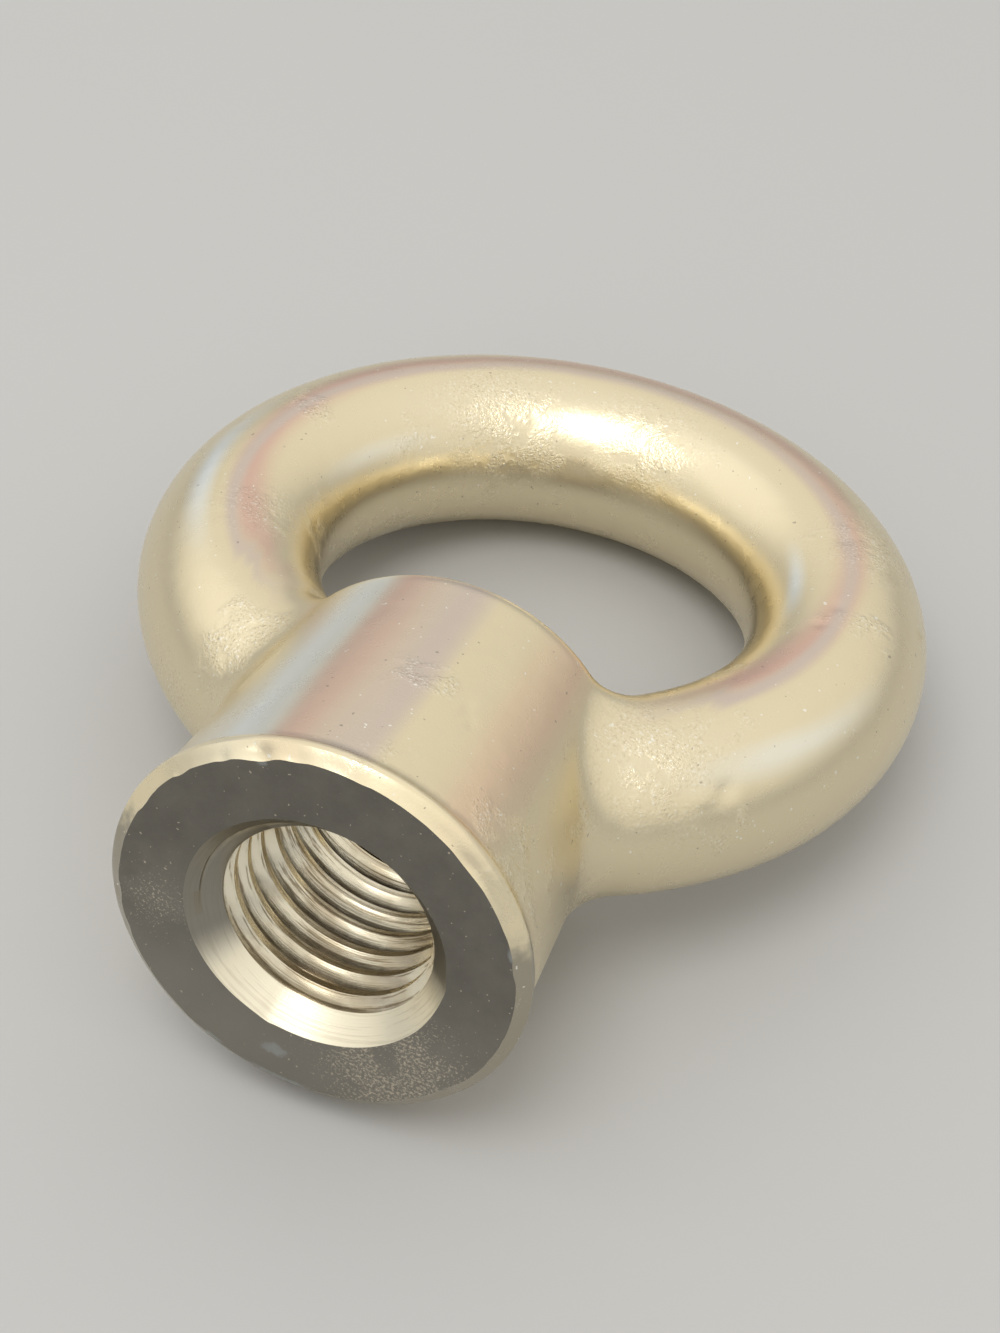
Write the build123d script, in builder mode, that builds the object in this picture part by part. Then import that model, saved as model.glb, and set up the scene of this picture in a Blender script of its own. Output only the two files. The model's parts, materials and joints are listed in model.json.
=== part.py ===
"""Lifting eye nut, M20: one stainless casting, a lifting ring on a tapped boss.

Sizes are in millimetres. The nut is drawn upright first, with its thread along Z
and its seat on Z = 0. It is then laid on its side, as it comes to rest: the top
edge of the boss and the far side of the ring touch the ground together.
"""

from build123d import *
from math import asin, atan2, cos, degrees, hypot, isclose, pi, sin, tan
import os

os.makedirs("parts", exist_ok=True)

# Ring
ring_outside_diameter = 72.0
ring_bar_diameter = 16.5
eye_height = 50.0  # from the seat to the middle of the eye

# Boss, a drafted drum with a proud rim round its seat
seat_diameter = 33.0
seat_chamfer_height = 0.8
rim_diameter = 35.0
rim_land_height = 0.7
rim_back_height = 0.7  # slope from the rim down to the side of the boss
rim_edge_radius = 0.4
boss_foot_diameter = 33.8
boss_top_diameter = 31.0
boss_top_radius = 3.0
crown_drop = 0.5  # top of the boss below the inside of the ring
root_fillet_radius = 6.0  # where the ring grows out of the boss

# Thread, ISO metric coarse, bored here to its minor diameter
thread_diameter = 20.0
thread_pitch = 2.5
minor_diameter_factor = 1.082532
countersink_diameter = 21.8
countersink_angle = 90.0

# Worked out from the sizes above
bar_radius = ring_bar_diameter / 2
ring_radius = ring_outside_diameter / 2 - bar_radius
boss_height = eye_height - ring_radius + bar_radius - crown_drop
rim_radius = rim_diameter / 2
rim_top = seat_chamfer_height + rim_land_height
boss_foot = rim_top + rim_back_height
minor_radius = (thread_diameter - minor_diameter_factor * thread_pitch) / 2

# Rest: one tangent plane to the rounded top edge of the boss and to the ring's bar
boss_draft = atan2((boss_foot_diameter - boss_top_diameter) / 2, boss_height - boss_foot)
shoulder_height = boss_height - boss_top_radius
shoulder_radius = boss_top_diameter / 2 - boss_top_radius * tan((pi / 2 - boss_draft) / 2)
ring_far_height = eye_height + ring_radius
contact_reach = ring_far_height - shoulder_height
contact_distance = hypot(shoulder_radius, contact_reach)
rest_tilt = atan2(shoulder_radius, contact_reach) - asin(
    (bar_radius - boss_top_radius) / contact_distance
)
rest_height = (
    shoulder_height * sin(rest_tilt) + shoulder_radius * cos(rest_tilt) + boss_top_radius
)
seat_end = -seat_diameter / 2 * sin(rest_tilt)
ring_end = ring_far_height * cos(rest_tilt) + bar_radius
seat_position = -(seat_end + ring_end) / 2
rest = Location((0, seat_position, rest_height), (-90 - degrees(rest_tilt), 0, 0))

with BuildPart() as casting:
    # Boss, turned about the thread's axis
    with BuildSketch(Plane.YZ):
        with BuildLine():
            Polyline(
                (0, 0),
                (seat_diameter / 2, 0),
                (rim_radius, seat_chamfer_height),
                (rim_radius, rim_top),
                (boss_foot_diameter / 2, boss_foot),
                (boss_top_diameter / 2, boss_height),
                (0, boss_height),
                close=True,
            )
        make_face()
    revolve(axis=Axis.Z)
    circles = casting.edges().filter_by(GeomType.CIRCLE)
    rim_edges = circles.filter_by(lambda edge: isclose(edge.radius, rim_radius))
    fillet(rim_edges, rim_edge_radius)
    boss_top_edge = casting.edges().filter_by(GeomType.CIRCLE).sort_by(Axis.Z)[-1]
    fillet(boss_top_edge, boss_top_radius)

    # Ring, a round bar carried about the middle of the eye, its seams inside the boss and eye
    with BuildSketch(Plane.YZ):
        with Locations(Location((0, eye_height - ring_radius), 90)):
            Circle(bar_radius)
    revolve(axis=Axis((0, 0, eye_height), (0, 1, 0)))

    # Root: one closed run of edges, where the ring leaves the side and top of the boss
    root_edges = casting.edges(Select.LAST).filter_by(GeomType.BSPLINE)
    fillet(root_edges, root_fillet_radius)

    # Tapped hole, through the seat into the eye
    seat = casting.faces().filter_by(GeomType.PLANE).sort_by(Axis.Z)[0]
    with Locations(seat):
        CounterSinkHole(
            radius=minor_radius,
            counter_sink_radius=countersink_diameter / 2,
            depth=eye_height,
            counter_sink_angle=countersink_angle,
        )

with BuildPart() as eye_nut:
    with Locations(rest):
        add(casting.part)

eye_nut.part.label = "eye_nut"
export_step(eye_nut.part, "parts/eye_nut.step")
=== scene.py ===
"""Lifting eye nut, M20: a cast, polished ring and boss with a turned seat and a cut thread.

The nut's surfaces are worked out upright, in millimetres: X across the ring, Y square to the
ring and Z along the thread, from the seat to the eye. They are then laid where the frame's
mounts say that the thread and the seat are.
"""

import json
from math import cos, pi, radians, sin, tan

import bmesh
import bpy
import numpy as np
from bpy.props import FloatProperty, FloatVectorProperty, IntProperty, PointerProperty
from bpy.types import Operator, Panel, PropertyGroup
from mathutils import Matrix, Vector


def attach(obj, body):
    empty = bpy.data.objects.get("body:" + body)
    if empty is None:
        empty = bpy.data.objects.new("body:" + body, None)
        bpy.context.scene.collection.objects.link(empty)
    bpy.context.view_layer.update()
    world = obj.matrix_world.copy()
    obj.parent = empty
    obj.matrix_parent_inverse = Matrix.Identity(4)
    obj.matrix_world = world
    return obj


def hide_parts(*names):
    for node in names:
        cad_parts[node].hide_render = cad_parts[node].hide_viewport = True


bl_info = {
    "name": "Lifting Eye Nut",
    "version": (1, 0, 0),
    "blender": (4, 5, 0),
    "location": "3D Viewport > Sidebar > Eye Nut",
    "description": "Builds a polished cast lifting eye nut with its cut thread, and a plain stage",
    "category": "Object",
}

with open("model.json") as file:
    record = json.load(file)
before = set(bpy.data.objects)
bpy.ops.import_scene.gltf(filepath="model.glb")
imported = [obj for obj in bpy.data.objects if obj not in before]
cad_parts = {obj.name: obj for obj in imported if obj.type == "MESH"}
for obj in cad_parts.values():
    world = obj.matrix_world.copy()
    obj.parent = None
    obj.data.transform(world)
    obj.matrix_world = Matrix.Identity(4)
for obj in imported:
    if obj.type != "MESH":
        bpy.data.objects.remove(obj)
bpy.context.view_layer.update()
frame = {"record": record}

MM = 0.001
MOUNTS = {mount["name"]: mount for mount in frame["record"]["mounts"]}


# -------------------------------- sizes and colours


class NutSizes(PropertyGroup):
    """Sizes of the nut, in millimetres"""

    ring_outside: FloatProperty(
        name="Ring outside", description="Diameter over the ring", default=72.0
    )
    bar: FloatProperty(name="Bar", description="Diameter of the ring's bar", default=16.5)
    eye_height: FloatProperty(
        name="Eye height", description="From the seat to the middle of the eye", default=50.0
    )
    foot: FloatProperty(
        name="Boss foot", description="Diameter of the boss at its foot", default=33.8
    )
    foot_height: FloatProperty(
        name="Foot height", description="From the seat to the foot of the boss", default=2.2
    )
    crown: FloatProperty(
        name="Boss top", description="Diameter of the boss at its top", default=31.0
    )
    crown_height: FloatProperty(
        name="Boss height", description="From the seat to the top of the boss", default=30.0
    )
    crown_rounding: FloatProperty(
        name="Crown rounding", description="Rounding round the top of the boss", default=3.0
    )
    root: FloatProperty(
        name="Root fillet", description="Radius where the ring grows out of the boss", default=6.0
    )
    seat: FloatProperty(name="Seat", description="Diameter of the flat seat", default=33.0)
    rim: FloatProperty(name="Rim", description="Diameter of the rim", default=35.0)
    rim_chamfer: FloatProperty(
        name="Rim chamfer", description="Height of the chamfer between seat and rim", default=0.8
    )
    rim_land: FloatProperty(name="Rim land", description="Height of the rim's edge", default=0.7)
    rim_rounding: FloatProperty(
        name="Rim rounding", description="Rounding of the rim's two corners", default=0.35
    )
    rim_foot: FloatProperty(
        name="Rim foot", description="Hollow where the rim meets the boss", default=1.2
    )
    thread: FloatProperty(name="Thread", description="Major diameter of the thread", default=20.0)
    pitch: FloatProperty(name="Pitch", description="Pitch of the thread", default=2.5)
    countersink: FloatProperty(
        name="Countersink", description="Diameter of the countersunk mouth", default=21.8
    )


class NutSurface(PropertyGroup):
    """How fine the mesh is, and how uneven the casting"""

    voxel: FloatProperty(
        name="Mesh size", description="Spacing of the casting's mesh, in millimetres", default=0.48
    )
    turn_steps: IntProperty(
        name="Steps in a turn", description="Steps round the thread and the turned faces",
        default=168,
    )
    waviness: FloatProperty(
        name="Waviness", description="Height of the casting's slow waves, in millimetres",
        default=0.012,
    )
    orange_peel: FloatProperty(
        name="Orange peel", description="Height of its small waves, in millimetres", default=0.003
    )
    edge_wear: FloatProperty(
        name="Edge wear", description="How uneven the edge of the seat is, in millimetres",
        default=0.10,
    )


class NutFinish(PropertyGroup):
    """Colours and polish of the nut, with its painted reflections and painted shade"""

    steel: FloatVectorProperty(
        name="Steel", description="Polished casting", subtype="COLOR", default=(0.82, 0.722, 0.505)
    )
    # Painted reflections: the four colours below stand for coloured surroundings seen in the
    # metal, laid on by the way its surface faces.
    cool_reflection: FloatVectorProperty(
        name="Cool reflection", description="Bluish parts of the casting", subtype="COLOR",
        default=(0.92, 0.96, 0.95),
    )
    rose_reflection: FloatVectorProperty(
        name="Rose reflection", description="Pinkish parts of the casting", subtype="COLOR",
        default=(0.74, 0.50, 0.41),
    )
    lilac_reflection: FloatVectorProperty(
        name="Lilac reflection", description="Parts of the casting between rose and cool",
        subtype="COLOR", default=(0.68, 0.58, 0.51),
    )
    tan_reflection: FloatVectorProperty(
        name="Tan reflection", description="A tan drift along the boss", subtype="COLOR",
        default=(0.86, 0.66, 0.47),
    )
    # The seat's turned steel, painted darker than it is: a painted reflection of dark
    # surroundings. The same painted shade darkens the rim's lower chamfer and the mouth's upper
    # half.
    seat_steel_painted_dark: FloatVectorProperty(
        name="Seat", description="Turned seat", subtype="COLOR", default=(0.205, 0.193, 0.168)
    )
    thread_steel: FloatVectorProperty(
        name="Thread", description="Freshly cut metal", subtype="COLOR", default=(0.95, 0.88, 0.70)
    )
    polish: FloatProperty(
        name="Polish", description="Roughness of the polished casting", subtype="FACTOR",
        min=0.0, max=1.0, default=0.25,
    )


class StageLook(PropertyGroup):
    """Camera, light and floor"""

    azimuth: FloatProperty(
        name="Azimuth", description="Camera's direction round the nut", subtype="ANGLE",
        default=radians(17.60),
    )
    elevation: FloatProperty(
        name="Elevation", description="Camera's height over the floor", subtype="ANGLE",
        default=radians(44.64),
    )
    roll: FloatProperty(
        name="Roll", description="Camera's turn about its own line of sight", subtype="ANGLE",
        default=radians(5.13),
    )
    distance: FloatProperty(
        name="Distance", description="From the camera to the eye", unit="LENGTH", default=0.22776
    )
    aside: FloatProperty(
        name="Aside", description="Eye's place right of the picture's middle", unit="LENGTH",
        default=0.00318,
    )
    above: FloatProperty(
        name="Above", description="Eye's place above the picture's middle", unit="LENGTH",
        default=0.00607,
    )
    lens: FloatProperty(
        name="Lens", description="Focal length in millimetres", unit="CAMERA", default=67.2
    )
    floor: FloatVectorProperty(
        name="Floor", description="Colour of the floor", subtype="COLOR",
        default=(0.48, 0.48, 0.475),
    )


# -------------------------------- where the nut lies


def placement():
    """Matrix from the upright nut to the frame.

    Its Z runs into the mouth of the thread, and its origin is where the thread's axis
    crosses the seat.
    """
    outwards = Vector(MOUNTS["thread"]["axis"]).normalized()
    on_axis = Vector(MOUNTS["thread"]["pos_m"])
    on_seat = Vector(MOUNTS["seat"]["pos_m"])
    origin = on_axis + outwards * (on_seat - on_axis).dot(outwards)
    z = -outwards
    x = Vector((1, 0, 0))
    y = z.cross(x)
    turn = Matrix((x, y, z)).transposed().to_4x4()
    return Matrix.Translation(origin) @ turn @ Matrix.Scale(MM, 4)


def placed(points, matrix):
    """The points, an array of rows, after the matrix."""
    m = np.array(matrix)
    return points @ m[:3, :3].T + m[:3, 3]


# -------------------------------- meshes from whole arrays


def mesh_of(name, points, faces, materials=(), slots=None):
    """A mesh from rows of points and rows of quads or triangles."""
    mesh = bpy.data.meshes.new(name)
    corners = faces.shape[1]
    mesh.vertices.add(len(points))
    mesh.vertices.foreach_set("co", points.astype(np.float32).ravel())
    mesh.loops.add(faces.size)
    mesh.loops.foreach_set("vertex_index", faces.astype(np.int32).ravel())
    mesh.polygons.add(len(faces))
    mesh.polygons.foreach_set("loop_start", np.arange(0, faces.size, corners, dtype=np.int32))
    if slots is not None:
        mesh.polygons.foreach_set("material_index", slots.astype(np.int32))
    for material in materials:
        mesh.materials.append(material)
    mesh.update(calc_edges=True)
    mesh.validate()
    return mesh


def points_of(mesh):
    """The mesh's points, an array of rows."""
    points = np.empty(len(mesh.vertices) * 3, np.float32)
    mesh.vertices.foreach_get("co", points)
    return points.reshape(-1, 3).astype(float)


def move_points(mesh, points):
    """Puts the mesh's points at those rows."""
    mesh.vertices.foreach_set("co", points.astype(np.float32).ravel())
    mesh.update()


def grid_faces(rows, columns, rows_join, columns_join):
    """Quads of a grid of points, numbered row by row, which may join up in either direction."""
    i = np.arange(rows if rows_join else rows - 1)
    j = np.arange(columns if columns_join else columns - 1)
    i, j = (a.ravel() for a in np.meshgrid(i, j, indexing="ij"))
    i2, j2 = (i + 1) % rows, (j + 1) % columns
    return np.stack([i * columns + j, i * columns + j2, i2 * columns + j2, i2 * columns + j], 1)


def ring_surface(sizes, steps):
    """The ring: a point goes round the bar, at its radius, while the bar goes round the eye."""
    bar = sizes.bar / 2
    middle = sizes.ring_outside / 2 - bar
    u, v = np.meshgrid(
        np.linspace(0, 2 * pi, steps, endpoint=False),
        np.linspace(0, 2 * pi, steps // 3, endpoint=False),
        indexing="ij",
    )
    out = middle + bar * np.cos(v)
    points = np.stack([out * np.sin(u), bar * np.sin(v), sizes.eye_height - out * np.cos(u)], -1)
    return points.reshape(-1, 3), grid_faces(steps, steps // 3, True, True)


def turned_surface(profile, steps):
    """A closed turned form: each corner (radius, height) of the profile goes round the Z axis.

    The profile starts and ends on the axis, where each end is a single point. The third array
    numbers the strip that each triangle is in, from -1 at the first end.
    """
    profile = np.array(profile, float)
    ends, middle = profile[[0, -1]], profile[1:-1]
    turn = np.linspace(0, 2 * pi, steps, endpoint=False)
    radius, angle = np.meshgrid(middle[:, 0], turn, indexing="ij")
    height = np.repeat(middle[:, 1], steps).reshape(radius.shape)
    points = np.stack([radius * np.cos(angle), radius * np.sin(angle), height], -1).reshape(-1, 3)
    faces = grid_faces(len(middle), steps, False, True)
    first = np.arange(steps)
    last = first + (len(middle) - 1) * steps
    low, high = len(points), len(points) + 1
    points = np.vstack([points, [[0, 0, ends[0, 1]], [0, 0, ends[1, 1]]]])
    caps = [
        np.stack([np.full(steps, low), np.roll(first, -1), first], 1),
        np.stack([np.full(steps, high), last, np.roll(last, -1)], 1),
    ]
    triangles = np.vstack([faces[:, [0, 1, 2]], faces[:, [0, 2, 3]], *caps])
    strip = np.concatenate([np.repeat(np.arange(len(middle) - 1), steps)] * 2)
    strips = np.concatenate([strip, np.full(steps, -1), np.full(steps, len(middle) - 1)])
    return points, triangles, strips


def thread_coil(sizes, steps, start, end):
    """The groove of the thread: its section goes up a right-hand helix, one pitch to a turn.

    The section is cut by the flanks, 60 degrees apart, from inside the bore to the rounded root.
    The coil's stations stand part of a step off those of the bore, so that no edges coincide.
    """
    major = sizes.thread / 2
    slope = tan(radians(30))
    root = sizes.pitch / 16
    inner = bore_radius(sizes) - 0.3
    half = root + (major - inner) * slope
    flank_end, shoulder, off_step = 0.16, 0.04, 0.37
    section = np.array(
        [
            (inner, -half),
            (major - flank_end, -root - flank_end * slope),
            (major - shoulder, -root * 0.75),
            (major, 0.0),
            (major - shoulder, root * 0.75),
            (major - flank_end, root + flank_end * slope),
            (inner, half),
        ]
    )
    turns = (end - start) / sizes.pitch
    stations = int(turns * steps)
    angle = (np.arange(stations) + off_step) * (2 * pi / steps)
    climb = start + angle / (2 * pi) * sizes.pitch
    r = section[:, 0][None, :]
    points = np.stack(
        [
            r * np.cos(angle)[:, None],
            r * np.sin(angle)[:, None],
            climb[:, None] + section[:, 1][None, :],
        ],
        -1,
    ).reshape(-1, 3)
    n = len(section)
    quads = grid_faces(stations, n, False, True)
    triangles = np.vstack([quads[:, [0, 2, 1]], quads[:, [0, 3, 2]]])
    fan = np.arange(1, n - 1)
    first = np.stack([np.zeros_like(fan), fan, fan + 1], 1)
    last = np.stack([np.zeros_like(fan), fan + 1, fan], 1) + (stations - 1) * n
    return points, np.vstack([triangles, first, last])


def bore_radius(sizes):
    """Minor radius of an ISO thread: the major radius less five eighths of its sharp height."""
    return (sizes.thread - 2 * 5 / 8 * sizes.pitch * cos(pi / 6)) / 2


# -------------------------------- the casting's exact form


def joined(first, second, radius):
    """Two solids joined by a ball of that radius rolled along the corner between them.

    Each solid is given as (distance, outward direction) at every point. The ball's middle is
    at the radius from both, and within the corner the surface is at the radius from it.
    """
    d1, n1 = first
    d2, n2 = second
    parallel = 0.999
    c = np.clip((n1 * n2).sum(1), -parallel, parallel)
    e1, e2 = radius - d1, radius - d2
    a = (e1 - c * e2) / (1 - c * c)
    b = (e2 - c * e1) / (1 - c * c)
    inside = (a > 0) & (b > 0) & (d1 < radius) & (d2 < radius)
    to_ball = a[:, None] * n1 + b[:, None] * n2
    length = np.maximum(np.linalg.norm(to_ball, axis=1), 1e-9)
    nearer = d1 < d2
    distance = np.where(nearer, d1, d2)
    normal = np.where(nearer[:, None], n1, n2)
    blend = inside & (radius - length < distance)
    distance = np.where(blend, radius - length, distance)
    normal = np.where(blend[:, None], to_ball / length[:, None], normal)
    return distance, normal


def ring_distance(p, sizes):
    """Distance to the ring: to the circle through the middle of its bar, less the bar's radius."""
    bar = sizes.bar / 2
    across, along = p[:, 0], p[:, 2] - sizes.eye_height
    reach = np.maximum(np.hypot(across, along), 1e-9)
    off = reach - (sizes.ring_outside / 2 - bar)
    length = np.maximum(np.hypot(off, p[:, 1]), 1e-9)
    normal = np.stack([across / reach * off, p[:, 1], along / reach * off], 1) / length[:, None]
    return length - bar, normal


def drawn_in(corners, distance):
    """A convex outline's corners, after each of its sides has moved inwards by the distance."""
    side = np.roll(corners, -1, 0) - corners
    out = np.stack([side[:, 1], -side[:, 0]], 1)
    out /= np.linalg.norm(out, axis=1)[:, None]
    offset = (out * corners).sum(1) - distance
    before, b_offset = np.roll(out, 1, 0), np.roll(offset, 1)
    det = before[:, 0] * out[:, 1] - before[:, 1] * out[:, 0]
    x = (b_offset * out[:, 1] - offset * before[:, 1]) / det
    y = (before[:, 0] * offset - out[:, 0] * b_offset) / det
    return np.stack([x, y], 1)


def turned_distance(p, corners, rounding):
    """Distance to a turned form with a convex outline, given as (radius, height) corners.

    The outline is drawn in by the rounding, which is then taken off the distance to it.
    """
    corners = drawn_in(np.array(corners, float), rounding)
    radius = np.maximum(np.hypot(p[:, 0], p[:, 1]), 1e-9)
    q = np.stack([radius, p[:, 2]], 1)
    side = np.roll(corners, -1, 0) - corners
    length = np.linalg.norm(side, axis=1)
    out = np.stack([side[:, 1], -side[:, 0]], 1) / length[:, None]
    from_corner = q[:, None, :] - corners[None]
    share = np.clip((from_corner * side[None]).sum(2) / length[None] ** 2, 0, 1)
    foot = from_corner - share[..., None] * side[None]
    gap = np.linalg.norm(foot, axis=2)
    height = (from_corner * out[None]).sum(2)
    rows = np.arange(len(p))
    within = (height <= 0).all(1)
    nearest = np.where(within, height.argmax(1), gap.argmin(1))
    outside = foot[rows, nearest] / np.maximum(gap[rows, nearest], 1e-9)[:, None]
    flat = np.where(within[:, None], out[nearest], outside)
    distance = np.where(within, height.max(1), gap.min(1)) - rounding
    x, y = p[:, 0] / radius * flat[:, 0], p[:, 1] / radius * flat[:, 0]
    return distance, np.stack([x, y, flat[:, 1]], 1)


def drum_outline(sizes):
    """Outline of the boss's drafted drum, run on below the seat and past the axis."""
    foot, crown = sizes.foot / 2, sizes.crown / 2
    draft = (foot - crown) / (sizes.crown_height - sizes.foot_height)
    below = -7.0
    low = foot + draft * (sizes.foot_height - below)
    return [(-foot, below), (low, below), (crown, sizes.crown_height), (-foot, sizes.crown_height)]


def rim_outline(sizes):
    """Outline of the rim: chamfer, edge and back, run on below the seat and past the axis."""
    rim, seat = sizes.rim / 2, sizes.seat / 2
    top = sizes.rim_chamfer + sizes.rim_land
    chamfer = (rim - seat) / sizes.rim_chamfer
    back = (rim - sizes.foot / 2) / (sizes.foot_height - top)
    low, high = -5.0, 24.0
    return [
        (-seat, low),
        (seat + chamfer * low, low),
        (rim, sizes.rim_chamfer),
        (rim, top),
        (rim - back * (high - top), high),
        (-seat, high),
    ]


def within_cone(p, field, sizes):
    """The field of a solid, cut back to the cone that the rim's chamfer lies on."""
    distance, normal = field
    reach = sizes.rim / 2 - sizes.seat / 2
    slant = np.hypot(reach, sizes.rim_chamfer)
    radius = np.maximum(np.hypot(p[:, 0], p[:, 1]), 1e-9)
    out, down = sizes.rim_chamfer / slant, reach / slant
    beyond = (radius - sizes.seat / 2) * out - p[:, 2] * down
    way = np.stack([p[:, 0] / radius * out, p[:, 1] / radius * out, np.full(len(p), -down)], 1)
    cone = beyond > distance
    return np.where(cone, beyond, distance), np.where(cone[:, None], way, normal)


def casting(p, sizes):
    """Distance to the whole casting, and the way out of it: drum, rim and ring, each rolled in."""
    drum = turned_distance(p, drum_outline(sizes), sizes.crown_rounding)
    rim = turned_distance(p, rim_outline(sizes), sizes.rim_rounding)
    boss = within_cone(p, joined(drum, rim, sizes.rim_foot), sizes)
    return joined(ring_distance(p, sizes), boss, sizes.root)


def waves(p, length, seed, count=28):
    """A smooth uneven field: the sum of sine waves of about that length, in random directions.

    It is scaled so that its spread is 1.
    """
    random = np.random.default_rng(seed)
    way = random.normal(size=(count, 3))
    lengths = length * random.uniform(0.7, 1.4, count)
    way *= (2 * pi / lengths / np.linalg.norm(way, axis=1))[:, None]
    return np.sin(p @ way.T + random.uniform(0, 2 * pi, count)).sum(1) / np.sqrt(count / 2)


# Waves of the casting and of its wear: each one's length in millimetres and its random seed.
SLOW_WAVES = (15.0, 3)
SHORTER_WAVES = (7.0, 4)
PEEL_WAVES = (2.2, 5)
SEAT_RUBBING = (13.0, 6)
SEAT_CHIPPING = (3.0, 7)
MOUTH_RUBBING = (5.0, 8)

# Small marks on the ring: angle round the eye from the boss, angle round the bar from its outer
# side, both in degrees, then half width across and along the bar and depth, in millimetres.
RING_MARKS = (
    (116, -92, 0.7, 0.9, 0.16),
    (93, -96, 0.5, 0.8, 0.14),
    (86, -101, 0.5, 0.6, 0.12),
    (46, -38, 0.8, 0.9, 0.24),
    (42, -35, 0.7, 1.0, -0.12),
    (100, -33, 0.45, 0.55, -0.22),
    (119, -58, 0.35, 0.45, -0.10),
    (123, -52, 0.30, 0.35, -0.10),
    (112, -49, 0.30, 0.40, -0.08),
    (-96, -60, 0.4, 0.8, 0.10),
    (-128, 20, 0.5, 0.7, 0.10),
    (152, 70, 0.6, 0.8, 0.12),
)

# Small marks on the boss: angle round the thread, height, half width round and up it, and depth.
BOSS_MARKS = (
    (-69, 13.3, 0.30, 0.9, 0.10),
    (-66, 11.9, 0.25, 0.6, 0.08),
    (-152, 9.0, 0.40, 0.5, 0.08),
    (95, 17.0, 0.50, 0.7, 0.08),
)

# A notch in the seat's edge, and nicks in the mouth's: each one's angle round the thread in
# degrees and its half width in radians, then a nick's depth in millimetres.
SEAT_NOTCH = (-110, 0.08)
MOUTH_NICKS = ((107, 0.07, 0.13), (5, 0.07, 0.10))


def marks(p, sizes):
    """Depth of the small dents and nubs: each is a bell over its own patch of the surface.

    A dent's depth is over zero, and a nub's is under it.
    """
    bar = sizes.bar / 2
    middle = sizes.ring_outside / 2 - bar
    reach = np.hypot(p[:, 0], p[:, 2] - sizes.eye_height)
    turn = np.arctan2(p[:, 0], sizes.eye_height - p[:, 2])
    round_bar = np.arctan2(p[:, 1], reach - middle)
    on_ring = np.hypot(reach - middle, p[:, 1]) < bar + 0.5
    depth = np.zeros(len(p))
    for at_turn, at_bar, wide, long, deep in RING_MARKS:
        along = (turn - radians(at_turn)) * reach / long
        across = np.remainder(round_bar - radians(at_bar) + pi, 2 * pi) - pi
        depth += on_ring * deep * np.exp(-(along**2) - (across * bar / wide) ** 2)
    radius = np.hypot(p[:, 0], p[:, 1])
    round_boss = np.arctan2(p[:, 1], p[:, 0])
    for at_turn, height, wide, long, deep in BOSS_MARKS:
        across = np.remainder(round_boss - radians(at_turn) + pi, 2 * pi) - pi
        up = (p[:, 2] - height) / long
        depth += (radius > 12) * deep * np.exp(-(up**2) - (across * radius / wide) ** 2)
    return depth


def unevenness(p, surface, sizes):
    """How far the casting stands out of its true form: only a nub does, and the rest goes in.

    It is the slow and the small waves, held at or below zero, less the wear of the seat's edge,
    which fades away from it, and less the marks.
    """
    slow = np.clip(waves(p, *SLOW_WAVES) * 0.7 + waves(p, *SHORTER_WAVES) * 0.3, -2, 2) - 2
    peel = np.clip(waves(p, *PEEL_WAVES), -2, 2) - 2
    near_seat = np.exp(-(((p[:, 2] - 0.1) / 0.5) ** 2))
    place, half = SEAT_NOTCH
    notch = np.exp(-(((np.arctan2(p[:, 1], p[:, 0]) - radians(place)) / half) ** 2))
    rubbed = np.clip(waves(p, *SEAT_RUBBING), 0, 2) + np.clip(waves(p, *SEAT_CHIPPING), 0, 2)
    worn = surface.edge_wear * (0.6 * rubbed + 3.0 * notch)
    return (
        surface.waviness * slow + surface.orange_peel * peel - near_seat * worn - marks(p, sizes)
    )


def relaxed(points, edges, share):
    """Each point moved by that share towards the middle of its neighbours."""
    total = np.zeros_like(points)
    for axis in range(3):
        total[:, axis] = np.bincount(edges[:, 0], points[edges[:, 1], axis], len(points))
        total[:, axis] += np.bincount(edges[:, 1], points[edges[:, 0], axis], len(points))
    count = np.bincount(edges.ravel(), minlength=len(points))
    return points + share * (total / count[:, None] - points)


def rough_casting(sizes, surface):
    """A ring and a plain drum, run on below the seat, joined by a remesh into one even mesh."""
    ring_points, ring_faces = ring_surface(sizes, 180)
    rim, crown, top, below = sizes.rim / 2, sizes.crown / 2, sizes.crown_height, -3
    drum = [(0, below), (rim, below), (rim, 2), (crown, top - 2), (0, top)]
    drum_points, drum_faces, _ = turned_surface(drum, 120)
    ring_triangles = np.vstack([ring_faces[:, [0, 1, 2]], ring_faces[:, [0, 2, 3]]])
    points = np.vstack([ring_points, drum_points])
    faces = np.vstack([ring_triangles, drum_faces + len(ring_points)])
    rough = bpy.data.objects.new("rough casting", mesh_of("rough casting", points, faces))
    bpy.context.scene.collection.objects.link(rough)
    remesh = rough.modifiers.new("Remesh", "REMESH")
    remesh.mode = "VOXEL"
    remesh.voxel_size = surface.voxel
    graph = bpy.context.evaluated_depsgraph_get()
    mesh = bpy.data.meshes.new_from_object(rough.evaluated_get(graph))
    bpy.data.objects.remove(rough)
    return mesh


def cast_mesh(sizes, surface, material):
    """The casting before it is machined: the rough one, drawn onto the exact form.

    Each point moves by its distance against the way out, at most a millimetre at first, and is
    evened out among its neighbours between the moves. Then the unevenness is put on.
    """
    mesh = rough_casting(sizes, surface)
    p = points_of(mesh)
    edges = np.empty(len(mesh.edges) * 2, np.int32)
    mesh.edges.foreach_get("vertices", edges)
    edges = edges.reshape(-1, 2)
    evened, settled = 5, 3
    for _ in range(evened):
        distance, normal = casting(p, sizes)
        p -= np.clip(distance, -1, 1)[:, None] * normal
        p = relaxed(p, edges, 0.5)
    for _ in range(settled):
        distance, normal = casting(p, sizes)
        p -= np.clip(distance, -1, 1)[:, None] * normal
    p += unevenness(p, surface, sizes)[:, None] * normal
    move_points(mesh, p)
    mesh.materials.clear()
    mesh.materials.append(material)
    return mesh


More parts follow.
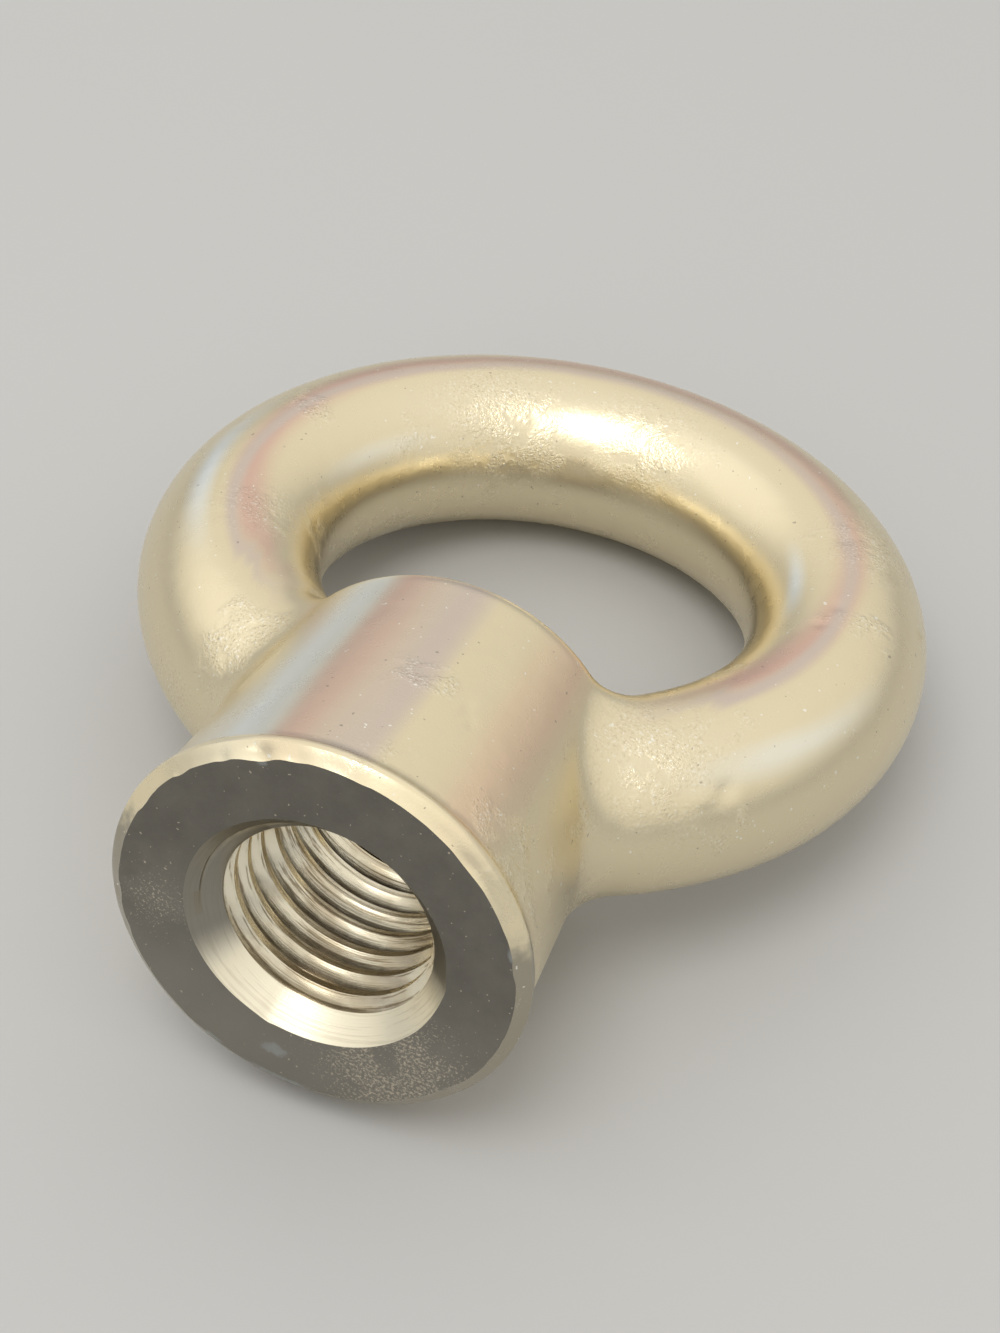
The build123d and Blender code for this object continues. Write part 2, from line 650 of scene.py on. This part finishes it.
def worn_mouth(points, mouth, surface):
    """Opens the edge of the countersunk mouth here and there, a little more at its nicks."""
    edge = np.isclose(np.hypot(points[:, 0], points[:, 1]), mouth) & np.isclose(points[:, 2], 0)
    turn = np.arctan2(points[edge, 1], points[edge, 0])
    wear = np.clip(waves(points[edge], *MOUTH_RUBBING), 0, 2) * 0.2 * surface.edge_wear
    for place, half, deep in MOUTH_NICKS:
        wear += deep * np.exp(-(((turn - radians(place)) / half) ** 2))
    points[edge, :2] *= (1 + wear / mouth)[:, None]


def cut(body, cutter_mesh):
    """The body's mesh less the cutter's, whose faces bring their own materials."""
    cutter = bpy.data.objects.new("cutter", cutter_mesh)
    bpy.context.scene.collection.objects.link(cutter)
    modifier = body.modifiers.new("Cut", "BOOLEAN")
    modifier.operation = "DIFFERENCE"
    modifier.solver = "MANIFOLD"
    modifier.material_mode = "TRANSFER"
    modifier.object = cutter
    graph = bpy.context.evaluated_depsgraph_get()
    mesh = bpy.data.meshes.new_from_object(body.evaluated_get(graph))
    body.modifiers.clear()
    body.data = mesh
    bpy.data.objects.remove(cutter)


def drop_slivers(mesh, shortest):
    """Closes up the slivers that the cuts have left: edges shorter than that, in millimetres."""
    solid = bmesh.new()
    solid.from_mesh(mesh)
    bmesh.ops.dissolve_degenerate(solid, dist=shortest, edges=solid.edges)
    solid.to_mesh(mesh)
    solid.free()


# -------------------------------- materials


class Nodes:
    """A material's node tree, filled from the shader backwards."""

    def __init__(self, name):
        self.material = bpy.data.materials.new(name)
        self.material.use_nodes = True
        self.tree = self.material.node_tree
        self.tree.nodes.clear()
        self.shader = self.tree.nodes.new("ShaderNodeBsdfPrincipled")
        output = self.tree.nodes.new("ShaderNodeOutputMaterial")
        self.tree.links.new(self.shader.outputs[0], output.inputs[0])

    def add(self, kind, settings=(), **inputs):
        """A node of that kind with its settings, and with its inputs linked or set.

        An input is named as its socket is, or by the socket's number after an underscore.
        """
        node = self.tree.nodes.new("ShaderNode" + kind)
        for key, value in dict(settings).items():
            setattr(node, key, value)
        for key, value in inputs.items():
            socket = node.inputs[int(key[1:])] if key[1:].isdigit() else node.inputs[key]
            self.put(socket, value)
        return node

    def put(self, socket, value):
        """Links an output to the socket, or sets its value."""
        if isinstance(value, bpy.types.NodeSocket):
            self.tree.links.new(value, socket)
        else:
            socket.default_value = value

    def math(self, operation, a, b=0.0, c=0.0):
        """The outcome of one step of arithmetic."""
        node = self.add("Math", {"operation": operation}, _0=a, _1=b, _2=c)
        return node.outputs[0]

    def noise(self, vector, scale, detail=2.0, rough=0.5):
        """Smooth noise at the place, from 0 to 1, about that many features to a unit."""
        node = self.add("TexNoise", {}, Vector=vector, Scale=scale, Detail=detail, Roughness=rough)
        return node.outputs[0]

    def stretch(self, value, low, high, to_low=0.0, to_high=1.0):
        """The value's range, low to high, spread over another range, and held at its ends."""
        node = self.add("MapRange", {"interpolation_type": "SMOOTHSTEP"}, _0=value, _1=low,
                        _2=high, _3=to_low, _4=to_high)
        return node.outputs[0]

    def mix(self, share, a, b):
        """Colour a turning into colour b."""
        node = self.add("Mix", {"data_type": "RGBA"})
        self.put(node.inputs[0], share)
        self.put(node.inputs[6], a)
        self.put(node.inputs[7], b)
        return node.outputs[2]

    def metal(self, colour, rough, strength, depth, height):
        """The material, its shader filled as bare metal with that strength and depth of bump."""
        inputs = self.shader.inputs
        inputs["Metallic"].default_value = 1.0
        self.put(inputs["Base Color"], colour)
        self.put(inputs["Roughness"], rough)
        bump = self.add("Bump", {}, Strength=strength, Distance=depth, Height=height)
        self.put(inputs["Normal"], bump.outputs[0])
        return self.material


def rgba(colour):
    """The colour with full opacity."""
    return (*colour, 1.0)


def shade(colour, share):
    """The colour times the share, with no part over 1."""
    return rgba([min(1.0, c * share) for c in colour])


def upright(nodes, matrix):
    """Object coordinates turned back to the upright nut, in millimetres."""
    coordinates = nodes.add("TexCoord")
    place, turn, _ = matrix.decompose()
    mapping = nodes.add(
        "Mapping", {"vector_type": "TEXTURE"}, Vector=coordinates.outputs["Object"],
        Location=place, Rotation=turn.to_euler(), Scale=(MM,) * 3,
    )
    return mapping.outputs[0]


def length_of(n, x, y):
    """Length of the vector with those two parts."""
    squares = n.math("MULTIPLY_ADD", y, y, n.math("MULTIPLY", x, x))
    return n.math("SQRT", squares)


def spot(n, at, place, radius):
    """One at a place on the nut, falling softly to nothing at the radius, all in millimetres."""
    gap = n.add("VectorMath", {"operation": "DISTANCE"}, _0=at, _1=place)
    return n.stretch(gap.outputs["Value"], radius, 0.0)


def band(n, value, middle, half):
    """One in the middle of a band of the value, falling softly to nothing at its edges."""
    return n.stretch(n.math("ABSOLUTE", n.math("SUBTRACT", value, middle)), half, 0.0)


def whereabouts(n, at, sizes):
    """What the casting's painted reflections hang on, at a place on it.

    It is the share of ring against boss, the angle round the bar from its outer side, the angle
    round the boss from its right side, the angle round the eye from the boss, and coordinates
    drawn out along the bar and the boss. The first two angles mirror in the ring's plane.
    """
    x, y, z = n.add("SeparateXYZ", {}, Vector=at).outputs
    below = n.math("SUBTRACT", sizes.eye_height, z)
    reach = length_of(n, x, below)
    off = n.math("SUBTRACT", reach, (sizes.ring_outside - sizes.bar) / 2)
    aside_y = n.math("ABSOLUTE", y)
    round_bar = n.math("ARCTAN2", aside_y, off)
    round_boss = n.math("ARCTAN2", aside_y, x)
    aside = n.stretch(n.math("ABSOLUTE", x), 14.0, 23.0)
    share = n.math("MAXIMUM", aside, n.stretch(z, 30.0, 40.0))
    turn = n.math("ARCTAN2", x, below)
    along = n.math("MULTIPLY_ADD", n.math("ABSOLUTE", turn), 6.0, n.math("MULTIPLY", x, 0.12))
    bar = n.add("CombineXYZ", {}, X=along, Y=y, Z=reach).outputs[0]
    boss = n.add("CombineXYZ", {}, X=x, Y=y, Z=n.math("MULTIPLY", z, 0.15)).outputs[0]
    drawn = n.add("Mix", {"data_type": "VECTOR"}, _0=share, _4=boss, _5=bar).outputs[1]
    return share, round_bar, round_boss, turn, drawn


# Colours of specks, partly painted glints, of hollows, of scuff marks and painted glints, of
# tarnish, partly painted shade, of cutter lines, and of the painted shade in the thread's roots.
PALE_SPECK_AND_GLINT = (0.98, 0.95, 0.86)
BROWN_HOLLOW = (0.42, 0.36, 0.24)
DARK_SPECK = (0.30, 0.27, 0.23)
# Pale scuff marks, also painted glints along the seat's edge.
PALE_SCUFF_AND_GLINT = (0.46, 0.49, 0.49)
# Brown tarnish, also painted shade on the thread's upper side.
TARNISH_AND_SHADE = (0.46, 0.36, 0.22)
CUTTER_LINE = (0.30, 0.23, 0.14)
# Painted shade in the thread's roots.
ROOT_SHADE = (0.07, 0.05, 0.03)

# Painted reflections round the boss, laid on as tints by the way it faces: the angle from its
# right side and the half width, in degrees.
BOSS_COOL_REFLECTION = (118, 25)
BOSS_ROSE_REFLECTION = (100, 10)
BOSS_LILAC_REFLECTION = (90, 11)
BOSS_TAN_REFLECTION = (53, 12)

# Painted reflections round the ring's bar, laid on as tints by the way it faces: the angle from
# its outer side, what is added to it at the boss and taken off it at the far side of the eye, and
# the half width, in degrees.
RING_ROSE_REFLECTION = (94, 20, 18)
RING_LILAC_REFLECTION = (91, 4, 9)

# Painted cool reflections on the ring: the angle round the eye from the boss and its half width,
# then the angle round the bar and its half width, in degrees, and how strong the gleam is.
COOL_REFLECTIONS = (
    (-80, 32, 66, 14, 1.0),
    (103, 20, 122, 9, 0.9),
    (60, 26, 46, 15, 0.5),
    (-112, 26, 141, 12, 0.4),
)

# Where the casting's grain is left open: a place on the upright nut and a radius, in millimetres.
GRAIN_PATCHES = (
    ((-11.0, -6.0, 69.0), 11.0),
    ((3.0, -6.5, 71.5), 9.0),
    ((18.5, -7.0, 25.0), 9.5),
    ((28.0, -7.5, 63.0), 9.0),
    ((-23.0, 2.0, 23.0), 7.0),
    ((-24.0, -6.0, 40.0), 7.0),
    ((-12.0, 8.0, 72.0), 8.0),
    ((22.0, 7.0, 30.0), 7.0),
    ((4.0, 15.0, 22.0), 7.0),
)


def cast_steel(finish, matrix, sizes):
    """Polished cast stainless: warm, with cool, rosy, lilac and tan painted reflections and open
    grain whose pale specks are partly painted glints.

    The rim is rubbed pale, and the chamfer's lower half is painted darker: painted shade, a
    painted reflection of dark surroundings.
    """
    n = Nodes("cast stainless")
    at = upright(n, matrix)
    ring, round_bar, round_boss, turn, drawn = whereabouts(n, at, sizes)
    boss = n.math("SUBTRACT", 1.0, ring)
    wander = n.math("MULTIPLY", n.math("SUBTRACT", n.noise(drawn, 0.12, 2.0), 0.5), 0.5)
    bar_angle = n.math("ADD", round_bar, wander)
    boss_angle = n.math("ADD", round_boss, wander)
    toward_boss = n.math("COSINE", turn)

    def boss_reflection(middle, half):
        """Share of a painted reflection that runs up the boss."""
        return n.math("MULTIPLY", boss, band(n, boss_angle, radians(middle), radians(half)))

    def ring_reflection(middle, swing, half):
        """Share of a painted reflection that runs round the ring."""
        swung = n.math("MULTIPLY_ADD", toward_boss, radians(-swing), bar_angle)
        return n.math("MULTIPLY", ring, band(n, swung, radians(middle), radians(half)))

    # Painted reflections: cool, rose, lilac and tan bands, set by the way the boss and the ring
    # face.
    cool = boss_reflection(*BOSS_COOL_REFLECTION)
    # Painted reflections: cool gleams added on the ring.
    for at_turn, half_turn, at_bar, half_bar, strength in COOL_REFLECTIONS:
        gleam = n.math("MULTIPLY", band(n, turn, radians(at_turn), radians(half_turn)),
                       ring_reflection(at_bar, 0, half_bar))
        cool = n.math("MAXIMUM", cool, n.math("MULTIPLY", gleam, strength))
    colour = rgba(finish.steel)
    fade = n.stretch(n.noise(drawn, 0.09, 2.0), 0.34, 0.60, 0.75, 1.0)
    for share, reflected_colour in (
        (cool, finish.cool_reflection),
        (n.math("MAXIMUM", boss_reflection(*BOSS_ROSE_REFLECTION), ring_reflection(*RING_ROSE_REFLECTION)), finish.rose_reflection),
        (n.math("MAXIMUM", boss_reflection(*BOSS_LILAC_REFLECTION), ring_reflection(*RING_LILAC_REFLECTION)), finish.lilac_reflection),
        (boss_reflection(*BOSS_TAN_REFLECTION), finish.tan_reflection),
    ):
        colour = n.mix(n.math("MULTIPLY", share, fade), colour, rgba(reflected_colour))
    _, y, z = n.add("SeparateXYZ", {}, Vector=at).outputs
    rubbed = n.math("MULTIPLY", n.stretch(z, sizes.foot_height, 1.2), 0.8)
    colour = n.mix(rubbed, colour, shade(finish.steel, 1.22))
    # Painted shade: the chamfer's lower half, with a ragged edge, darkened towards the seat's
    # colour, a painted reflection of dark surroundings.
    painted_shade = n.math("MULTIPLY", n.stretch(z, sizes.foot_height, 1.4), n.stretch(y, -9.0, -2.0))
    ragged = n.math("MULTIPLY_ADD", n.noise(at, 0.9, 3.0), 0.8, painted_shade)
    painted_shade = n.math("MULTIPLY", n.stretch(ragged, 0.55, 1.25), n.stretch(painted_shade, 0.0, 0.5))
    colour = n.mix(n.math("MULTIPLY", painted_shade, 0.8), colour, shade(finish.seat_steel_painted_dark, 1.4))

    patches = n.stretch(n.noise(at, 0.11, 3.0), 0.56, 0.68)
    for place, radius in GRAIN_PATCHES:
        patches = n.math("MAXIMUM", patches, spot(n, at, place, radius))
    patches = n.math("MULTIPLY", patches, n.stretch(n.noise(at, 0.5, 2.0), 0.32, 0.55))
    grain = n.noise(at, 3.8, 2.0, 0.65)
    # Pale specks of the open grain, partly painted glints.
    speck_and_glint = n.math("MULTIPLY", n.stretch(grain, 0.57, 0.65), patches)
    colour = n.mix(n.math("MULTIPLY", speck_and_glint, 0.75), colour, rgba(PALE_SPECK_AND_GLINT))
    hollow = n.math("MULTIPLY", n.stretch(grain, 0.44, 0.34), patches)
    colour = n.mix(n.math("MULTIPLY", hollow, 0.45), colour, rgba(BROWN_HOLLOW))
    # Dark and pale dots all over; the pale ones are partly painted glints.
    dots = n.noise(at, 1.7, 1.0)
    dark, pale = n.stretch(dots, 0.76, 0.79), n.stretch(dots, 0.25, 0.22)
    colour = n.mix(n.math("MULTIPLY", dark, 0.6), colour, rgba(DARK_SPECK))
    colour = n.mix(n.math("MULTIPLY", pale, 0.8), colour, rgba(PALE_SPECK_AND_GLINT))

    rough = n.math("MULTIPLY_ADD", patches, 0.06, finish.polish)
    rough = n.math("MULTIPLY_ADD", n.noise(at, 0.5, 3.0), 0.06, rough)
    height = n.math("MULTIPLY", grain, n.stretch(patches, 0.0, 1.0, 0.14, 1.0))
    return n.metal(colour, rough, 0.8, 0.10 * MM, height)


# The seat's pale grit, partly painted glints of its grain, as parts of the seat's own colour.
PALE_GRIT_AND_GLINT = (3.4, 3.2, 2.9)

# Pale scuff marks on the seat, and painted glints along its edge: the angle round the thread and
# its half width, in degrees, then the distance from the axis and its half width, in millimetres.
SEAT_SCUFFS_AND_GLINTS = (
    (100, 9, 13.5, 1.3),
    (97, 20, 16.3, 0.45),
    (118, 6, 16.2, 0.4),
    (-17, 5, 16.3, 0.5),
    (-109, 3, 15.9, 0.5),
)


def turned_seat(finish, matrix):
    """Dull turned seat, painted dark as a painted reflection of dark surroundings: cloudy, finely
    speckled with pale grit that is partly painted glints, coarse in two patches, lighter towards
    its lower side, with pale scuff marks and painted glints along its edge.
    """
    n = Nodes("turned seat")
    at = upright(n, matrix)
    x, y, _ = n.add("SeparateXYZ", {}, Vector=at).outputs
    radius = length_of(n, x, y)
    angle = n.math("ARCTAN2", y, x)
    cloud = n.stretch(n.noise(at, 0.20, 5.0, 0.7), 0.30, 0.72)
    coarse = n.math("MAXIMUM", spot(n, at, (7.5, 11.0, 0.0), 13.0),
                    n.math("MULTIPLY", spot(n, at, (-13.0, 2.0, 0.0), 8.0), 0.6))
    coarse = n.math("MULTIPLY", coarse, n.stretch(n.noise(at, 0.35, 3.0), 0.30, 0.50, 0.4, 1.0))
    grain = n.noise(at, 3.9, 3.0, 0.75)
    limit = n.stretch(coarse, 0.0, 0.9, 0.68, 0.49)
    speckle_and_glint = n.add("Clamp", {}, Value=n.math("MULTIPLY", n.math("SUBTRACT", grain, limit), 9.0))
    # Painted shade: the seat's base colour is painted dark, a painted reflection of dark
    # surroundings.
    colour = n.mix(cloud, shade(finish.seat_steel_painted_dark, 0.8), rgba(finish.seat_steel_painted_dark))
    # Lighter towards the seat's lower side, and in its coarse patches.
    lighter = n.math("MAXIMUM", n.math("MULTIPLY", coarse, 0.6),
                     n.stretch(y, -4.0, 14.0, 0.0, 0.6))
    colour = n.mix(lighter, colour, shade(finish.seat_steel_painted_dark, 1.7))
    # Pale grit specks and dots, partly painted glints.
    pale = rgba([c * k for c, k in zip(finish.seat_steel_painted_dark, PALE_GRIT_AND_GLINT)])
    colour = n.mix(n.math("MULTIPLY", speckle_and_glint.outputs[0], 0.8), colour, pale)
    dots = n.stretch(n.noise(at, 2.2, 1.0), 0.72, 0.76)
    colour = n.mix(n.math("MULTIPLY", dots, 0.6), colour, pale)
    # Pale scuff marks, and painted glints along the seat's edge.
    scuffs_and_glints = 0.0
    for turn, half_turn, out, half_out in SEAT_SCUFFS_AND_GLINTS:
        round_seat = band(n, angle, radians(turn), radians(half_turn))
        scuffs_and_glints = n.math("MAXIMUM", scuffs_and_glints, n.math("MULTIPLY", round_seat,
                                                  band(n, radius, out, half_out)))
    broken = n.math("MULTIPLY_ADD", n.noise(at, 1.3, 5.0, 0.75), 1.6, scuffs_and_glints)
    scuffs_and_glints = n.math("MULTIPLY", n.stretch(broken, 1.05, 1.75), n.stretch(scuffs_and_glints, 0.0, 0.4))
    colour = n.mix(n.math("MULTIPLY", scuffs_and_glints, 0.5), colour, rgba(PALE_SCUFF_AND_GLINT))
    rough = n.math("MULTIPLY_ADD", cloud, 0.10, 0.36)
    height = n.math("MULTIPLY", grain, n.stretch(coarse, 0.0, 1.0, 0.30, 1.0))
    return n.metal(colour, rough, 0.7, 0.09 * MM, height)


def cut_thread(finish, matrix, sizes):
    """Bright cut metal, with painted dark brown shade in the roots that is deeper on the upper
    side, and with fine lines that follow the cutter round.

    The lines hang on the phase, which is the height in pitches less the turns made, so that
    each keeps its place on the thread's flank while it climbs. The mouth's upper half is painted
    darker with the seat's colour: painted shade, a painted reflection of dark surroundings.
    """
    n = Nodes("cut thread")
    at = upright(n, matrix)
    x, y, z = n.add("SeparateXYZ", {}, Vector=at).outputs
    radius = length_of(n, x, y)
    angle = n.math("ARCTAN2", y, x)
    phase = n.math("SUBTRACT", n.math("MULTIPLY", z, 2 * pi / sizes.pitch), angle)
    slow = n.math("MULTIPLY_ADD", n.math("SINE", angle), 0.9, n.math("MULTIPLY", z, 0.11))
    wound = n.add("CombineXYZ", {}, X=n.math("COSINE", phase), Y=n.math("SINE", phase), Z=slow)
    lines = n.noise(wound.outputs[0], 2.0, 5.0, 0.75)
    ragged = n.noise(at, 0.7, 3.0, 0.6)

    root = sizes.thread / 2
    # Painted shade: the roots darkened, less at the mouth and on the lower side.
    deep = n.math("MULTIPLY_ADD", n.math("SUBTRACT", ragged, 0.5), 0.7, radius)
    root_shade = n.stretch(deep, root - 0.60, root - 0.20)
    past_mouth = n.math("SUBTRACT", n.math("ADD", radius, z), sizes.countersink / 2)
    root_shade = n.math("MULTIPLY", root_shade, n.stretch(past_mouth, 0.1, 0.4))
    root_shade = n.math("MULTIPLY", root_shade, n.stretch(y, 7.0, -5.0, 0.45, 0.95))
    # Brown tarnish in random patches, and painted shade that browns the thread's upper side; both
    # fade out at the mouth.
    tarnish_and_shade = n.math("MULTIPLY", n.stretch(n.noise(at, 0.16, 3.0), 0.46, 0.64), 0.7)
    tarnish_and_shade = n.math("MAXIMUM", tarnish_and_shade, n.stretch(y, 0.0, -8.0))
    within = n.stretch(past_mouth, 0.1, 0.8)
    colour = n.mix(n.math("MULTIPLY", n.math("MULTIPLY", tarnish_and_shade, 0.75), within),
                   rgba(finish.thread_steel), rgba(TARNISH_AND_SHADE))
    dark_line = n.math("MULTIPLY", n.stretch(lines, 0.50, 0.60, 0.0, 0.85),
                       n.stretch(within, 0.0, 1.0, 0.25, 1.0))
    colour = n.mix(dark_line, colour, rgba(CUTTER_LINE))
    colour = n.mix(root_shade, colour, rgba(ROOT_SHADE))
    # Painted shade: the countersunk mouth darkened away from its lower side, a painted reflection
    # of dark surroundings.
    off_bright = n.math("ABSOLUTE", n.math("SUBTRACT", angle, radians(79)))
    painted_shade = n.math("MULTIPLY", n.stretch(past_mouth, 0.5, 0.1),
                  n.stretch(off_bright, radians(56), radians(80)))
    colour = n.mix(n.math("MULTIPLY", painted_shade, 0.9), colour, shade(finish.seat_steel_painted_dark, 1.2))
    rough = n.math("SUBTRACT", n.stretch(lines, 0.3, 0.7, 0.28, 0.38),
                   n.math("MULTIPLY", within, 0.12))
    return n.metal(colour, rough, 0.4, 0.05 * MM, lines)


# -------------------------------- operators


# The shortest edge that the cuts may leave, in millimetres, and the least angle of a crease.
SHORTEST_EDGE = 0.005
CREASE = radians(32)


class MakeNut(Operator):
    """Casts, faces, bores and taps the nut, and puts it in the place of the frame's own"""

    bl_idname = "eye_nut.make_nut"
    bl_label = "Make nut"

    def execute(self, context):
        sizes, surface, finish = (
            context.scene.eye_nut_sizes,
            context.scene.eye_nut_surface,
            context.scene.eye_nut_finish,
        )
        matrix = placement()
        steel = cast_steel(finish, matrix, sizes)
        seat = turned_seat(finish, matrix)
        thread = cut_thread(finish, matrix, sizes)
        nut = bpy.data.objects.new("lifting_eye_nut", cast_mesh(sizes, surface, steel))
        context.scene.collection.objects.link(nut)

        bore, mouth = bore_radius(sizes), sizes.countersink / 2
        below, wide, inside_eye = -9, 24, 38
        profile = [
            (0, below),
            (wide, below),
            (wide, 0),
            (mouth, 0),
            (bore, mouth - bore),
            (bore, inside_eye),
            (0, inside_eye),
        ]
        points, faces, strips = turned_surface(profile, surface.turn_steps)
        worn_mouth(points, mouth, surface)
        in_mouth = np.where(strips >= 2, 1, 0)
        cut(nut, mesh_of("turning", points, faces, [seat, thread], in_mouth))
        start, end = 0.3 - sizes.pitch * 1.25, 35.0
        points, faces = thread_coil(sizes, surface.turn_steps, start, end)
        cut(nut, mesh_of("tap", points, faces, [thread]))

        mesh = nut.data
        if not len(mesh.polygons):
            raise RuntimeError("the nut came out empty")
        drop_slivers(mesh, SHORTEST_EDGE)
        move_points(mesh, placed(points_of(mesh), matrix))
        mesh.polygons.foreach_set("use_smooth", np.ones(len(mesh.polygons), bool))
        mesh.set_sharp_from_angle(angle=CREASE)
        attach(nut, "root")
        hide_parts("eye_nut")
        return {"FINISHED"}


# Lamps: azimuth and elevation in degrees, distance and size in metres, power in watts, colour.
LAMPS = {
    "key softbox": (-12, 68, 0.80, 0.42, 1.9, (1.0, 0.98, 0.95)),
    "left softbox": (-100, 45, 0.90, 0.90, 0.45, (0.96, 0.98, 1.0)),
    "front softbox": (-15, 17, 0.90, 0.24, 0.35, (1.0, 0.99, 0.97)),
}

# The world's colour from the horizon, at 0, to straight above, at 1.
SKY = {
    0.0: (0.38, 0.38, 0.38),
    0.10: (0.50, 0.50, 0.50),
    0.24: (0.78, 0.77, 0.74),
    0.42: (0.87, 0.84, 0.76),
    1.0: (1.0, 1.0, 1.0),
}


class MakeStage(Operator):
    """Adds the floor, the light and the camera"""

    bl_idname = "eye_nut.make_stage"
    bl_label = "Make stage"

    def execute(self, context):
        look, sizes = context.scene.eye_nut_stage, context.scene.eye_nut_sizes
        eye = placement() @ Vector((0, 0, sizes.eye_height))
        self.floor(context, look)
        self.camera(context, look, eye)
        self.lamps(context, eye)
        self.world(context)
        context.scene.view_settings.view_transform = "Standard"
        return {"FINISHED"}

    def floor(self, context, look):
        """A level sheet of quads, eight metres wide, at the height of the frame's origin."""
        n = Nodes("pale floor")
        n.shader.inputs["Base Color"].default_value = rgba(look.floor)
        n.shader.inputs["Roughness"].default_value = 0.8
        x, y = np.meshgrid(np.linspace(-4, 4, 9), np.linspace(-4, 4, 9), indexing="ij")
        points = np.stack([x, y, np.zeros_like(x)], -1).reshape(-1, 3)
        mesh = mesh_of("floor", points, grid_faces(9, 9, False, False)[:, ::-1], [n.material])
        floor = bpy.data.objects.new("floor", mesh)
        context.scene.collection.objects.link(floor)

    def camera(self, context, look, eye):
        """Looks at the nut from the azimuth and the elevation, rolled about its line of sight."""
        a, e = look.azimuth, look.elevation
        back = Vector((sin(a) * cos(e), -cos(a) * cos(e), sin(e)))
        level = Vector((0, 0, 1)).cross(back).normalized()
        rise = back.cross(level)
        right = level * cos(look.roll) + rise * sin(look.roll)
        up = back.cross(right)
        data = bpy.data.cameras.new("camera")
        data.lens = look.lens
        data.clip_start, data.clip_end = 0.01, 20.0
        camera = bpy.data.objects.new("camera", data)
        context.scene.collection.objects.link(camera)
        camera.location = eye - right * look.aside - up * look.above + back * look.distance
        camera.rotation_euler = Matrix((right, up, back)).transposed().to_euler()
        context.scene.camera = camera

    def lamps(self, context, eye):
        """Round softboxes that face the eye of the nut."""
        for name, (azimuth, elevation, distance, size, power, colour) in LAMPS.items():
            a, e = radians(azimuth), radians(elevation)
            way = Vector((sin(a) * cos(e), -cos(a) * cos(e), sin(e)))
            data = bpy.data.lights.new(name, "AREA")
            data.shape, data.size, data.energy, data.color = "DISK", size, power, colour
            lamp = bpy.data.objects.new(name, data)
            context.scene.collection.objects.link(lamp)
            lamp.location = eye + way * distance
            lamp.rotation_euler = way.to_track_quat("Z", "Y").to_euler()

    def world(self, context):
        """A plain sky that grows lighter with height."""
        world = bpy.data.worlds.new("studio")
        context.scene.world = world
        world.use_nodes = True
        tree = world.node_tree
        tree.nodes.clear()
        coordinates = tree.nodes.new("ShaderNodeTexCoord")
        split = tree.nodes.new("ShaderNodeSeparateXYZ")
        ramp = tree.nodes.new("ShaderNodeValToRGB")
        background = tree.nodes.new("ShaderNodeBackground")
        output = tree.nodes.new("ShaderNodeOutputWorld")
        tree.links.new(coordinates.outputs["Generated"], split.inputs[0])
        tree.links.new(split.outputs[2], ramp.inputs[0])
        tree.links.new(ramp.outputs[0], background.inputs[0])
        tree.links.new(background.outputs[0], output.inputs[0])
        ramp.color_ramp.interpolation = "B_SPLINE"
        steps = ramp.color_ramp.elements
        for place in list(SKY)[1:-1]:
            steps.new(place)
        for step, (place, colour) in zip(steps, SKY.items()):
            step.position, step.color = place, rgba(colour)


class EyeNutPanel(Panel):
    """Lists the nut's sizes, its finish and the stage"""

    bl_idname = "VIEW3D_PT_eye_nut"
    bl_label = "Lifting eye nut"
    bl_space_type = "VIEW_3D"
    bl_region_type = "UI"
    bl_category = "Eye Nut"

    def draw(self, context):
        layout = self.layout
        for title, group, operator in (
            ("Sizes", context.scene.eye_nut_sizes, None),
            ("Surface", context.scene.eye_nut_surface, None),
            ("Finish", context.scene.eye_nut_finish, MakeNut.bl_idname),
            ("Stage", context.scene.eye_nut_stage, MakeStage.bl_idname),
        ):
            box = layout.box()
            box.label(text=title)
            for key in group.__annotations__:
                box.prop(group, key)
            if operator:
                box.operator(operator)


GROUPS = {
    "eye_nut_sizes": NutSizes,
    "eye_nut_surface": NutSurface,
    "eye_nut_finish": NutFinish,
    "eye_nut_stage": StageLook,
}
CLASSES = (*GROUPS.values(), MakeNut, MakeStage, EyeNutPanel)


def register():
    for made in CLASSES:
        bpy.utils.register_class(made)
    for name, group in GROUPS.items():
        setattr(bpy.types.Scene, name, PointerProperty(type=group))


def unregister():
    for name in GROUPS:
        delattr(bpy.types.Scene, name)
    for made in reversed(CLASSES):
        bpy.utils.unregister_class(made)


def main():
    """Makes the nut and its stage."""
    register()
    bpy.ops.eye_nut.make_nut()
    bpy.ops.eye_nut.make_stage()


if __name__ == "__main__":
    main()
